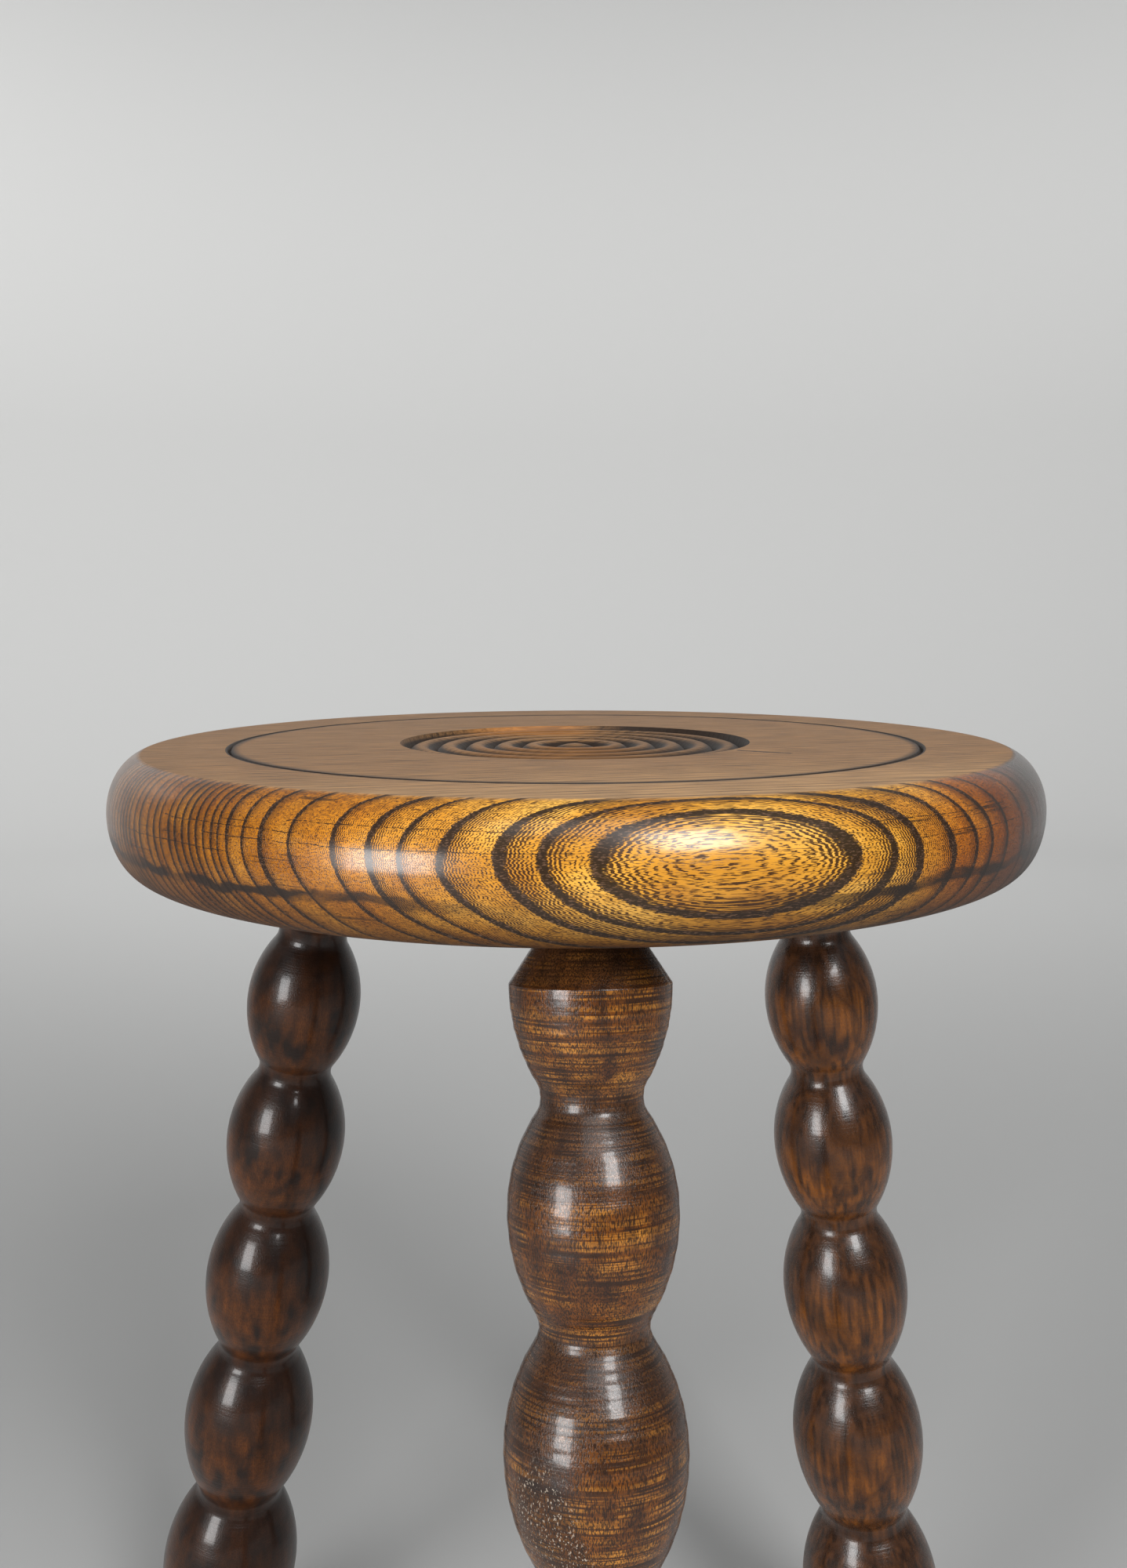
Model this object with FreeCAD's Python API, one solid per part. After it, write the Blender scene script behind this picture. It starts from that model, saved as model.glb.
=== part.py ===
"""Bobbin stool: a turned round seat on three splayed bobbin-turned legs.

Millimetres, +Z up.  The origin is on the floor, at the centre of the box round the whole stool.  -Y is the side
of the front leg.  The seat is one board with a rolled edge, an incised ring and a sunk roundel of concentric reeds.
Each leg is one turning: tenon, short neck, flared collar, a row of bobbins that grow downwards, and a foot
that is cut level with the floor.  The tenons sit in blind mortises bored at the splay of each leg.
"""
import FreeCAD, Part
import math
import os

# Seat
seat_diameter = 300.0
seat_thickness = 35.0
edge_roll_above = 13.2          # how far the upper roll reaches in from the rim
edge_break_height = 0.4         # how far the upper roll would rise over the flat, which leaves a soft break
edge_roll_below = 10.0
ring_radius = 113.0             # incised ring
ring_width = 1.6
ring_depth = 1.4
roundel_radius = 58.5           # sunk roundel
roundel_wall_run = 2.1          # slope of its outer wall
reed_count = 6                  # the middle button and the reeds round it
reed_crest_depth = 1.0
reed_valley_depth = 4.2

# Leg, measured down its axis from the underside of the seat
neck_radius_at_seat = 12.5
neck_length_at_seat = 4.0
collar_drop = 17.0              # sharp arris of the flared collar
collar_radius = 21.0
first_waist_drop = 45.8
waist_radius = 13.1             # first waist
waist_fillet = 7.5
waist_growth_share = 0.070      # each waist over the one above
bobbin_length = 56.9            # first bobbin
bobbin_radius = 21.8
bobbin_length_growth_share = 0.0645
bobbin_radius_growth_share = 0.0635
bobbin_count = 5
foot_length = 43.0              # last waist to sole, on the leg that leans most
foot_bulge_drop = 24.0          # last waist to the widest place of the foot
foot_radius = 26.5
sole_radius = 20.5

# Joint between leg and seat
leg_circle_radius = 108.0       # leg axes at the underside of the seat
tenon_radius = 10.0
tenon_chamfer = 1.5
glue_gap = 0.1                  # round the tenon
glue_pocket = 1.5               # past the end of the tenon
mortise_roof = 10.0             # wood left over the mortise
trim_overrun = 12.0             # how far cutting shapes pass what they cut

# How each leg stands: azimuth of its mortise, splay from upright, and how far its lean is turned from straight
# outwards.  The mortises were bored by eye, so they differ.
front_azimuth_degrees = -88.0
front_splay_degrees = 11.1
front_lean_turn_degrees = 0.9
right_azimuth_degrees = 34.0
right_splay_degrees = 6.1
right_lean_turn_degrees = -28.0
left_azimuth_degrees = 151.0
left_splay_degrees = 10.4
left_lean_turn_degrees = 6.8
leg_angles = {
    "leg_front": (front_azimuth_degrees, front_splay_degrees, front_lean_turn_degrees),
    "leg_right_rear": (right_azimuth_degrees, right_splay_degrees, right_lean_turn_degrees),
    "leg_left_rear": (left_azimuth_degrees, left_splay_degrees, left_lean_turn_degrees),
}


def point(radius, height):
    """A point of a half section: distance from the turning axis, height."""
    return FreeCAD.Vector(radius, 0, height)


def line(start, end):
    """Straight edge."""
    return Part.LineSegment(start, end).toShape()


def arc(start, middle, end):
    """Arc of a circle through three points."""
    return Part.Arc(start, middle, end).toShape()


def turned(edges):
    """Solid turned round Z from the edges of a closed half section."""
    face = Part.Face(Part.Wire(edges))
    return face.revolve(FreeCAD.Vector(0, 0, 0), FreeCAD.Vector(0, 0, 1), 360)


def ellipse_arc(centre, across, up, start_angle, end_angle):
    """Arc of an upright ellipse in the half section; angles run from +Z towards +X."""
    top = centre + FreeCAD.Vector(0, 0, up)
    side = centre + FreeCAD.Vector(across, 0, 0)
    return Part.ArcOfEllipse(Part.Ellipse(top, side, centre), start_angle, end_angle).toShape()


# Seat

def seat_edge(top, rim):
    """Upper and lower roll of the edge, with the radii where they meet the two flats."""
    middle = top - seat_thickness / 2
    rise = seat_thickness / 2 + edge_break_height
    start = math.acos(seat_thickness / 2 / rise)
    upper = ellipse_arc(point(rim - edge_roll_above, middle), edge_roll_above, rise, start, math.pi / 2)
    lower = ellipse_arc(point(rim - edge_roll_below, middle), edge_roll_below, seat_thickness / 2,
                        math.pi / 2, math.pi)
    flat_above = rim - edge_roll_above + edge_roll_above * math.sin(start)
    return [upper, lower], flat_above, rim - edge_roll_below


def roundel_edges(top):
    """Middle button, reeds and outer wall of the sunk roundel, from the axis outwards."""
    pitch = (roundel_radius - roundel_wall_run) / reed_count
    crest, valley = top - reed_crest_depth, top - reed_valley_depth
    rise = crest - valley
    button_radius = (pitch ** 2 + rise ** 2) / (2 * rise)
    half_turn = math.asin(pitch / button_radius) / 2
    on_button = point(button_radius * math.sin(half_turn), crest - button_radius * (1 - math.cos(half_turn)))
    edges = [arc(point(0, crest), on_button, point(pitch, valley))]
    for reed in range(1, reed_count):
        inner, outer = reed * pitch, (reed + 1) * pitch
        edges.append(arc(point(inner, valley), point((inner + outer) / 2, crest), point(outer, valley)))
    edges.append(line(point(reed_count * pitch, valley), point(roundel_radius, top)))
    return edges


def seat_solid(underside):
    """The turned seat, before its mortises are bored."""
    top = underside + seat_thickness
    rim = seat_diameter / 2
    rolls, flat_above, flat_below = seat_edge(top, rim)
    edges = roundel_edges(top)
    groove = [point(ring_radius - ring_width / 2, top), point(ring_radius, top - ring_depth),
              point(ring_radius + ring_width / 2, top)]
    corners = [point(roundel_radius, top)] + groove + [point(flat_above, top)]
    edges += [line(a, b) for a, b in zip(corners, corners[1:])]
    edges += rolls
    edges.append(line(point(flat_below, underside), point(0, underside)))
    edges.append(line(point(0, underside), point(0, top - reed_crest_depth)))
    return turned(edges)


# Leg, built hanging down from z = 0 on its own axis

def half_bobbin(widest_radius, widest_z, waist_r, waist_z):
    """Radius of the arc from the widest place of a bobbin to a waist, and the point where the waist begins."""
    run = abs(waist_z - widest_z)
    offset = waist_r + waist_fillet - widest_radius
    swell = (run ** 2 + offset ** 2 - waist_fillet ** 2) / (2 * (waist_fillet - offset))
    share = swell / (swell + waist_fillet)
    joint_radius = widest_radius - swell + (offset + swell) * share
    return swell, point(joint_radius, widest_z + (waist_z - widest_z) * share)


def swell_arc(widest_radius, widest_z, swell, end):
    """Arc from the widest place of a bobbin to a point on the same circle."""
    turn = math.asin((end.z - widest_z) / swell) / 2
    middle = point(widest_radius - swell * (1 - math.cos(turn)), widest_z + swell * math.sin(turn))
    return arc(point(widest_radius, widest_z), middle, end)


def waists():
    """Drop and radius of each waist."""
    drop, found = first_waist_drop, []
    for index in range(bobbin_count + 1):
        found.append((drop, waist_radius * (1 + waist_growth_share) ** index))
        drop += bobbin_length * (1 + bobbin_length_growth_share) ** index
    return found


def leg_length():
    """Underside of the seat to the sole, along the axis of the leg that leans most."""
    return waists()[-1][0] + foot_length


def leg_turning(sole_overrun):
    """The leg below the seat, with its neck run up past the seat's underside and its foot past the sole."""
    places = waists()
    edges = [line(point(0, trim_overrun), point(neck_radius_at_seat, trim_overrun)),
             line(point(neck_radius_at_seat, trim_overrun), point(neck_radius_at_seat, -neck_length_at_seat)),
             line(point(neck_radius_at_seat, -neck_length_at_seat), point(collar_radius, -collar_drop))]
    swells = [(collar_radius, -collar_drop)]
    for index in range(bobbin_count):
        middle = (places[index][0] + places[index + 1][0]) / 2
        swells.append((bobbin_radius * (1 + bobbin_radius_growth_share) ** index, -middle))
    swells.append((foot_radius, -places[-1][0] - foot_bulge_drop))
    for (drop, waist_r), above, below in zip(places, swells, swells[1:]):
        swell, joint = half_bobbin(*above, waist_r, -drop)
        edges.append(swell_arc(*above, swell, joint))
        next_swell, next_joint = half_bobbin(*below, waist_r, -drop)
        edges.append(arc(joint, point(waist_r, -drop), next_joint))
        edges.append(swell_arc(*below, next_swell, next_joint))
    edges += foot_edges(sole_overrun)
    edges.append(line(point(0, edges[-1].BoundBox.ZMin), point(0, trim_overrun)))
    return turned(edges)


def foot_edges(sole_overrun):
    """Underside of the foot: an arc to the sole, then straight on along its tangent, and the end face."""
    widest_z = -waists()[-1][0] - foot_bulge_drop
    run, draw_in = foot_length - foot_bulge_drop, foot_radius - sole_radius
    swell = (run ** 2 + draw_in ** 2) / (2 * draw_in)
    sole = point(sole_radius, widest_z - run)
    slope = run / math.sqrt(swell ** 2 - run ** 2)
    tip = point(sole_radius - slope * sole_overrun, sole.z - sole_overrun)
    return [swell_arc(foot_radius, widest_z, swell, sole), line(sole, tip), line(tip, point(0, tip.z))]


def tenon(length, radius, chamfer):
    """Round peg from inside the neck up to its chamfered end."""
    corners = [point(0, -neck_length_at_seat), point(radius, -neck_length_at_seat),
               point(radius, length - chamfer), point(radius - chamfer, length), point(0, length)]
    return turned([line(a, b) for a, b in zip(corners, corners[1:] + corners[:1])])


def slab(low, high):
    """A wide slab between two heights, used to keep what lies inside it."""
    reach = seat_diameter + leg_length()
    return Part.makeBox(2 * reach, 2 * reach, high - low, FreeCAD.Vector(-reach, -reach, low))


def leg_placement(azimuth, splay, lean_turn, underside):
    """Hangs a leg's own axis from its mortise, tilted outwards by its splay."""
    out = math.radians(azimuth)
    lean = math.radians(azimuth + lean_turn)
    head = FreeCAD.Vector(leg_circle_radius * math.cos(out), leg_circle_radius * math.sin(out), underside)
    hinge = FreeCAD.Vector(math.sin(lean), -math.cos(lean), 0)
    return FreeCAD.Placement(head, FreeCAD.Rotation(hinge, splay))


def placed(shape, placement):
    """A copy of a shape, moved."""
    copy = shape.copy()
    copy.Placement = placement
    return copy


def mortise_length(splay):
    """Bored depth along a leg's axis that leaves the roof over the mortise."""
    tilt = math.radians(splay)
    bore = tenon_radius + glue_gap
    return (seat_thickness - mortise_roof - bore * math.sin(tilt)) / math.cos(tilt)


def stool():
    """All pieces by name, standing on z = 0 with the seat on the Z axis."""
    widest_splay = max(splay for _, splay, _ in leg_angles.values())
    underside = leg_length() * math.cos(math.radians(widest_splay))
    seat = seat_solid(underside)
    turning = leg_turning(foot_radius * math.tan(math.radians(widest_splay)))
    pieces = {}
    for name, (azimuth, splay, lean_turn) in leg_angles.items():
        placement = leg_placement(azimuth, splay, lean_turn, underside)
        depth = mortise_length(splay)
        below_seat = placed(turning, placement).common(slab(0, underside))
        peg = placed(tenon(depth - glue_pocket, tenon_radius, tenon_chamfer), placement)
        pieces[name] = below_seat.fuse(peg).removeSplitter()
        bore = Part.makeCylinder(tenon_radius + glue_gap, depth + trim_overrun, point(0, -trim_overrun))
        seat = seat.cut(placed(bore, placement))
    pieces["seat"] = seat
    return pieces


def main():
    """Build the stool, centre its box on the origin and write one file for each piece."""
    pieces = stool()
    box = Part.makeCompound(list(pieces.values())).optimalBoundingBox()
    centring = FreeCAD.Vector(-box.Center.x, -box.Center.y, 0)
    os.makedirs("parts", exist_ok=True)
    for name, shape in pieces.items():
        shape.translate(centring)
        shape.exportStep("parts/" + name + ".step")
        print("%-16s solids %d valid %s volume %.0f" % (name, len(shape.Solids), shape.isValid(), shape.Volume))
    print("seat axis at x %.2f y %.2f" % (centring.x, centring.y))
    print("size %.1f x %.1f x %.1f" % (box.XLength, box.YLength, box.ZLength))


main()
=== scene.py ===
"""Bobbin stool: a waxed elm seat on three dark-stained bobbin-turned legs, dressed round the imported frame.

Millimetres while shapes are worked out, metres once they are in a mesh.  The seat and the legs are turnings, so
each is a half section carried round its own axis as one numpy grid.  Their grain is worked out in the wood's own
directions (along the grain, across the growth rings, up the growth rings) and kept in vertex attributes.
"""
import logging
import math
from collections.abc import Callable
from dataclasses import dataclass, field
from enum import Enum
from functools import partial
from typing import Any

import bpy
import numpy as np
from mathutils import Matrix, Vector


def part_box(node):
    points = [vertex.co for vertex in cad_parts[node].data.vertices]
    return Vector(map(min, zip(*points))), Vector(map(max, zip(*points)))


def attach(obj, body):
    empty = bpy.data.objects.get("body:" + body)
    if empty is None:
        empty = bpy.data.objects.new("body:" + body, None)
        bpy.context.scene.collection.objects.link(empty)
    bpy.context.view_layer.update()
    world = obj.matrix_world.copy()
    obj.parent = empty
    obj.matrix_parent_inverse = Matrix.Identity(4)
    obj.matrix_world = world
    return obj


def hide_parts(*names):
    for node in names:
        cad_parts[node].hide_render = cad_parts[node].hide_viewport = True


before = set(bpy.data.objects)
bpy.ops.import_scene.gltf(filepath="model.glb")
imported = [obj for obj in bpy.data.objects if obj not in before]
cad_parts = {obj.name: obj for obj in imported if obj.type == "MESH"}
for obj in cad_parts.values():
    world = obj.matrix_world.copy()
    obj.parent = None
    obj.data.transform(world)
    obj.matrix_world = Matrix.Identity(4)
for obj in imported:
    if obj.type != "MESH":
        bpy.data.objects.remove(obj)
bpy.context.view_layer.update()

MM = 0.001
LOG = logging.getLogger("bobbin_stool")
Vector3 = tuple[float, float, float]
Stops = tuple[tuple[float, str], ...]

# A MapRange takes a value, the two ends of its range, and what they turn into.  A Mix of colours takes its share
# at socket 0 and the colours at 6 and 7, and gives a colour at output 2
COLOUR = {"output": 2, "data_type": "RGBA"}

# Noise patterns by their size in millimetres.  In the seat: along the grain, across the rings, up the rings
SEAT_PATTERNS: dict[str, Vector3] = {
    "waver": (12.0, 4.5, 0.6), "breaks": (2.4, 0.5, 0.3), "flecks": (1.5, 0.35, 0.28), "flow": (42.0, 9.0, 13.0),
    "rays": (60.0, 30.0, 0.55), "patches": (16.0, 14.0, 6.0)}
# In a leg: sideways, towards the viewer, down the axis.  Turning lines run round it, about one to the millimetre,
# in groups.  Real ones are a little finer than drawn
LEG_PATTERNS: dict[str, Vector3] = {
    "lines": (40.0, 40.0, 0.6), "broad": (70.0, 70.0, 2.6), "groups": (10.0, 10.0, 5.5),
    "blotch": (8.0, 8.0, 17.0), "haze": (4.0, 4.0, 7.0), "streaks": (2.4, 2.4, 34.0), "flecks": (0.5, 0.5, 0.8)}


class Slot(Enum):
    """Material slot names for the seat's and the legs' wood; the pieces here do not use them."""

    SEAT = "seat_wood"
    LEG = "leg_wood"


def linear_colour(hex_colour: str) -> tuple[float, float, float, float]:
    """Turns an sRGB hex colour into the linear colour that a shader works with.

    Args:
        hex_colour: Colour as written for a screen, such as "#c98a3a".

    Returns:
        Linear red, green and blue, and an alpha of 1.
    """
    parts = [int(hex_colour[place:place + 2], 16) / 255 for place in (1, 3, 5)]
    red, green, blue = (c / 12.92 if c <= 0.04045 else ((c + 0.055) / 1.055) ** 2.4 for c in parts)
    return red, green, blue, 1.0


def add_node(tree: bpy.types.NodeTree, kind: str, inputs: dict[Any, Any] | tuple[Any, ...] = (), output: int = 0,
             ramp: Stops = (), **settings: Any) -> bpy.types.NodeSocket | None:
    """Adds one shader node with its settings, values and links.

    Args:
        tree: Node tree that takes the node.
        kind: Node type without its ShaderNode prefix, or a Math node's operation in capitals.
        inputs: What the sockets are set to or linked from, in order, or by name or number.
        output: Number of the output socket that is wanted.
        ramp: Places and hex colours of a colour ramp's stops, the two ends first.
        **settings: Properties of the node.

    Returns:
        The wanted output socket, whose node is at .node, or None where the node has no outputs.
    """
    if kind.isupper():
        kind, settings = "Math", {"operation": kind, **settings}
    node = tree.nodes.new("ShaderNode" + kind)
    for name, value in settings.items():
        setattr(node, name, value)
    for number, (place, colour) in enumerate(ramp):
        stops = node.color_ramp.elements
        stop = stops[number] if number < 2 else stops.new(place)
        stop.position, stop.color = place, linear_colour(colour)
    for socket, value in inputs.items() if isinstance(inputs, dict) else enumerate(inputs):
        if isinstance(value, bpy.types.NodeSocket):
            tree.links.new(value, node.inputs[socket])
        else:
            node.inputs[socket].default_value = linear_colour(value) if isinstance(value, str) else value
    return node.outputs[output] if node.outputs else None


def new_material(name: str) -> tuple[bpy.types.Material, bpy.types.NodeTree]:
    """Makes an empty node material.

    Args:
        name: Name of the finish.

    Returns:
        The material and its node tree, which holds nothing yet.
    """
    material = bpy.data.materials.new(name)
    material.use_nodes = True
    material.node_tree.nodes.clear()
    return material, material.node_tree


def spaced(start: float, end: float, step: float, corner: float = 0.12) -> np.ndarray:
    """Places along a run, about evenly spaced, with one close to each end so that a corner stays crisp.

    Args:
        start: First place.
        end: Last place.
        step: Wanted distance between places.
        corner: Distance of the extra places from the two ends.

    Returns:
        The places in order, both ends among them.
    """
    length = abs(end - start)
    inner = np.linspace(corner, length - corner, max(2, round((length - 2 * corner) / step) + 1))
    return start + np.sign(end - start) * np.concatenate(([0.0], inner, [length]))


def straight(start: tuple[float, float], end: tuple[float, float], step: float) -> np.ndarray:
    """Points of a straight run in a half section: start plus a share of the way to end.

    Args:
        start: Radius and height where the run begins.
        end: Radius and height where it ends.
        step: Wanted distance between points.

    Returns:
        Array of radius and height, one row for each point.
    """
    a, b = np.array(start), np.array(end)
    length = float(np.linalg.norm(b - a))
    share = spaced(0.0, length, step, min(0.12, length / 5)) / length
    return a + share[:, None] * (b - a)


def ring_quads(rows: int, columns: int) -> tuple[np.ndarray, np.ndarray]:
    """Corners of the quads that join neighbouring rows of a grid whose rows are closed on themselves.

    Args:
        rows: Number of rows, from the top down.
        columns: Points in each row, counterclockwise seen from above.

    Returns:
        Number of each point of the grid, and the four corners of each quad.
    """
    index = np.arange(rows * columns).reshape(rows, columns)
    onward = np.roll(index, -1, axis=1)
    return index, np.stack([index[:-1], index[1:], onward[1:], onward[:-1]], -1).reshape(-1, 4)


def turned_mesh(name: str, grid: np.ndarray, poles: list[np.ndarray],
                wood: Callable[[np.ndarray], dict[str, np.ndarray]]) -> bpy.types.Mesh:
    """Makes a closed mesh from a grid that goes down in rows and counterclockwise, seen from above, in columns.

    Each row is closed on itself, neighbouring rows are joined by quads, and the first and last rows are closed by
    triangles to their poles.

    Args:
        name: Name of the mesh.
        grid: Points in millimetres, rows by columns by three.
        poles: Points that close the first row and the last.
        wood: Gives the vertex attributes of points in millimetres, one number or one row of three for each.

    Returns:
        The mesh, in metres, shaded smooth.
    """
    rows, columns = grid.shape[:2]
    places = np.concatenate([grid.reshape(-1, 3), poles])
    points = places * MM
    index, quads = ring_quads(rows, columns)
    first = np.stack([np.full(columns, rows * columns), index[0], np.roll(index[0], -1)], -1)
    last = np.stack([np.full(columns, rows * columns + 1), np.roll(index[-1], -1), index[-1]], -1)
    corners = np.concatenate([quads.ravel(), first.ravel(), last.ravel()])
    sizes = np.concatenate([np.full(len(quads), 4), np.full(2 * columns, 3)])
    mesh = bpy.data.meshes.new(name)
    mesh.vertices.add(len(points))
    mesh.vertices.foreach_set("co", points.astype(np.float32).ravel())
    mesh.loops.add(len(corners))
    mesh.loops.foreach_set("vertex_index", corners.astype(np.int32))
    mesh.polygons.add(len(sizes))
    mesh.polygons.foreach_set("loop_start", np.concatenate([[0], np.cumsum(sizes)[:-1]]).astype(np.int32))
    mesh.update(calc_edges=True)
    mesh.validate()
    mesh.shade_smooth()
    for attribute, values in wood(places).items():
        vector = values.ndim == 2
        data = mesh.attributes.new(attribute, "FLOAT_VECTOR" if vector else "FLOAT", "POINT").data
        data.foreach_set("vector" if vector else "value", np.ascontiguousarray(values, np.float32).ravel())
    return mesh


def settle(mesh: bpy.types.Mesh, material: bpy.types.Material, node: str) -> bpy.types.Object:
    """Puts a finished mesh into the scene in place of its solid, and reports it.

    Args:
        mesh: The finished mesh, which gives the piece its name.
        material: Its finish.
        node: CAD node that the piece stands for.

    Returns:
        The piece, riding on the stool's one body.
    """
    mesh.materials.append(material)
    piece = bpy.data.objects.new(mesh.name, mesh)
    bpy.context.scene.collection.objects.link(piece)
    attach(piece, "root")
    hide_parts(node)
    triangles = sum(len(polygon.vertices) - 2 for polygon in mesh.polygons)
    LOG.info("%s: %d triangles in place of %s", mesh.name, triangles, node)
    return piece


@dataclass
class GrowthRings:
    """Growth rings of one board or blank, as distances across the rings.

    The ring surfaces are near-planes that lean, twist and wave a little.  widths are the rings nearest the bark,
    in millimetres from bark_line inwards; further in the width swings round usual_width.
    """

    bark_line: float
    widths: tuple[float, ...]
    usual_width: float = 3.3
    swing: float = 1.1
    count: int = 110

    def boundaries(self) -> np.ndarray:
        """Adds up the rings' widths inwards from bark_line, and a few wide ones outwards.

        Returns:
            Distances of the ring boundaries from the pith side to the bark side, in rising order.
        """
        order = np.arange(self.count)
        inner = self.usual_width + self.swing * (0.7 * np.sin(0.9 * order + 1.0) + 0.3 * np.sin(2.3 * order))
        outwards = np.full(8, 9.0)
        inwards = np.concatenate([self.widths, inner[len(self.widths):]])
        below = self.bark_line - np.concatenate([[0.0], np.cumsum(inwards)])
        above = self.bark_line + np.cumsum(outwards)
        return np.concatenate([below[::-1], above])

    def count_at(self, across: np.ndarray) -> tuple[np.ndarray, np.ndarray]:
        """Number of rings up to each place, and the width of the ring there.

        Args:
            across: Distance across the rings, rising towards the bark.

        Returns:
            Ring number, whose whole part changes at a boundary, and ring width in millimetres.
        """
        edges = self.boundaries()
        number = np.interp(across, edges, np.arange(len(edges)))
        middles = (edges[1:] + edges[:-1]) / 2
        return number, np.interp(across, middles, np.diff(edges))


@dataclass(frozen=True)
class WaxedElm:
    """Elm seat board, turned, oiled and polished with wax over decades.

    Elm is ring-porous: each year starts with a dense band of large pores, which hold dark wax and dirt and read
    as near-black bands, crisp on the pith side and breaking up into dashes towards the bark side.  The later wood
    between them is amber, crossed by short wavy dashes of small pores.  The wax gives a soft satin sheen over it.
    """

    flow: Stops = ((0.34, "#b57825"), (0.66, "#e6ad4b"), (0.5, "#cf912e"))
    # Along the grain, left to right: greyer at the left end, partly painted reflection, and darkest at 0.86, near
    # the right end, partly painted shade
    tint: Stops = ((0.0, "#a08f78"), (1.0, "#8d6d52"), (0.1, "#bca381"), (0.22, "#efdcb8"), (0.36, "#ffffff"),
                   (0.64, "#ffffff"), (0.72, "#dcb88c"), (0.78, "#a67d5a"), (0.86, "#4a3325"), (0.92, "#614836"))
    worn_brown: str = "#ad7f4e"
    worn_rim: str = "#c89b67"
    bare_amber: str = "#af6b1c"
    top_line: str = "#3c2819"
    dash: str = "#2f1708"
    fleck: str = "#684d3a"
    pore: str = "#150d09"
    streak: str = "#1f140d"
    stain: str = "#302621"
    # Colour of the painted shade on the lower roll
    underside: str = "#553212"
    roughness: float = 0.24
    tint_reach: float = 150.0  # millimetres along the grain to either end of the tint
    streak_depth: float = 6.4  # of the mineral streak below the middle of the board
    pore_depth: float = 0.00002  # metres
    # Small pores: along the grain, across and up the rings.  Real ones are a quarter of a millimetre thick, and
    # these are drawn a little coarser so that they show
    pore_size: Vector3 = (4.2, 0.6, 0.24)
    band_pitch: float = 0.3  # spacing of their wavy bands across the rings
    top_size: Vector3 = (18.0, 0.5, 0.5)  # pores cut lengthwise on the flat top
    check_half_width: float = 0.1
    # Hair cracks on the edge: height over the middle of the board, first and last place along the grain
    checks: tuple[Vector3, ...] = ((11.1, -98.0, -45.0), (6.2, -118.0, -36.0), (8.6, -128.0, -96.0),
                                   (2.4, -146.0, -112.0), (10.2, 34.0, 82.0), (5.4, 52.0, 96.0))
    # Crack on the top: half width and place across it; degrees off the grain, middle and half length along it
    top_crack: tuple[tuple[float, float], Vector3] = ((0.9, -3.22), (45.5, 70.75, 9.0))


@dataclass(frozen=True)
class StainedElm:
    """Leg blanks of the same wood, stained dark brown on the lathe, waxed, and rubbed through by use.

    The stain stays greyish brown on the shoulder above each swell, its grey partly a painted reflection of the
    sheen there, dark in the pores and the fine turning grooves, and has worn to amber-brown below the swell.
    Pores down the leg and turning lines round it give a woven look, and the wax a satin sheen.
    """

    name: str = "stained_elm"
    dark: str = "#1b0d05"
    # Greyish brown above each swell, its grey partly a painted reflection of the sheen on the upper halves
    shoulder: str = "#422c1d"
    stain: str = "#41200a"
    rubbed: str = "#74400b"
    amber: str = "#c68634"
    ticks: float = 0.85  # how strongly the pores show
    lines: float = 0.85  # how strongly the turning lines show
    bare: float = 0.0  # added to the share that is rubbed through
    early: float = 0.35  # how dark the early wood is
    streaks: float = 0.0  # how dark the streaks down the grain are
    flake: str = "#c2b2a0"
    roughness: float = 0.27
    specular: float = 0.36
    pore_size: Vector3 = (0.28, 0.28, 1.3)  # sideways, towards the viewer, down the leg
    pore_depth: float = 0.000026  # metres
    line_pitch: float = 1.1  # millimetres between turning lines


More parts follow.
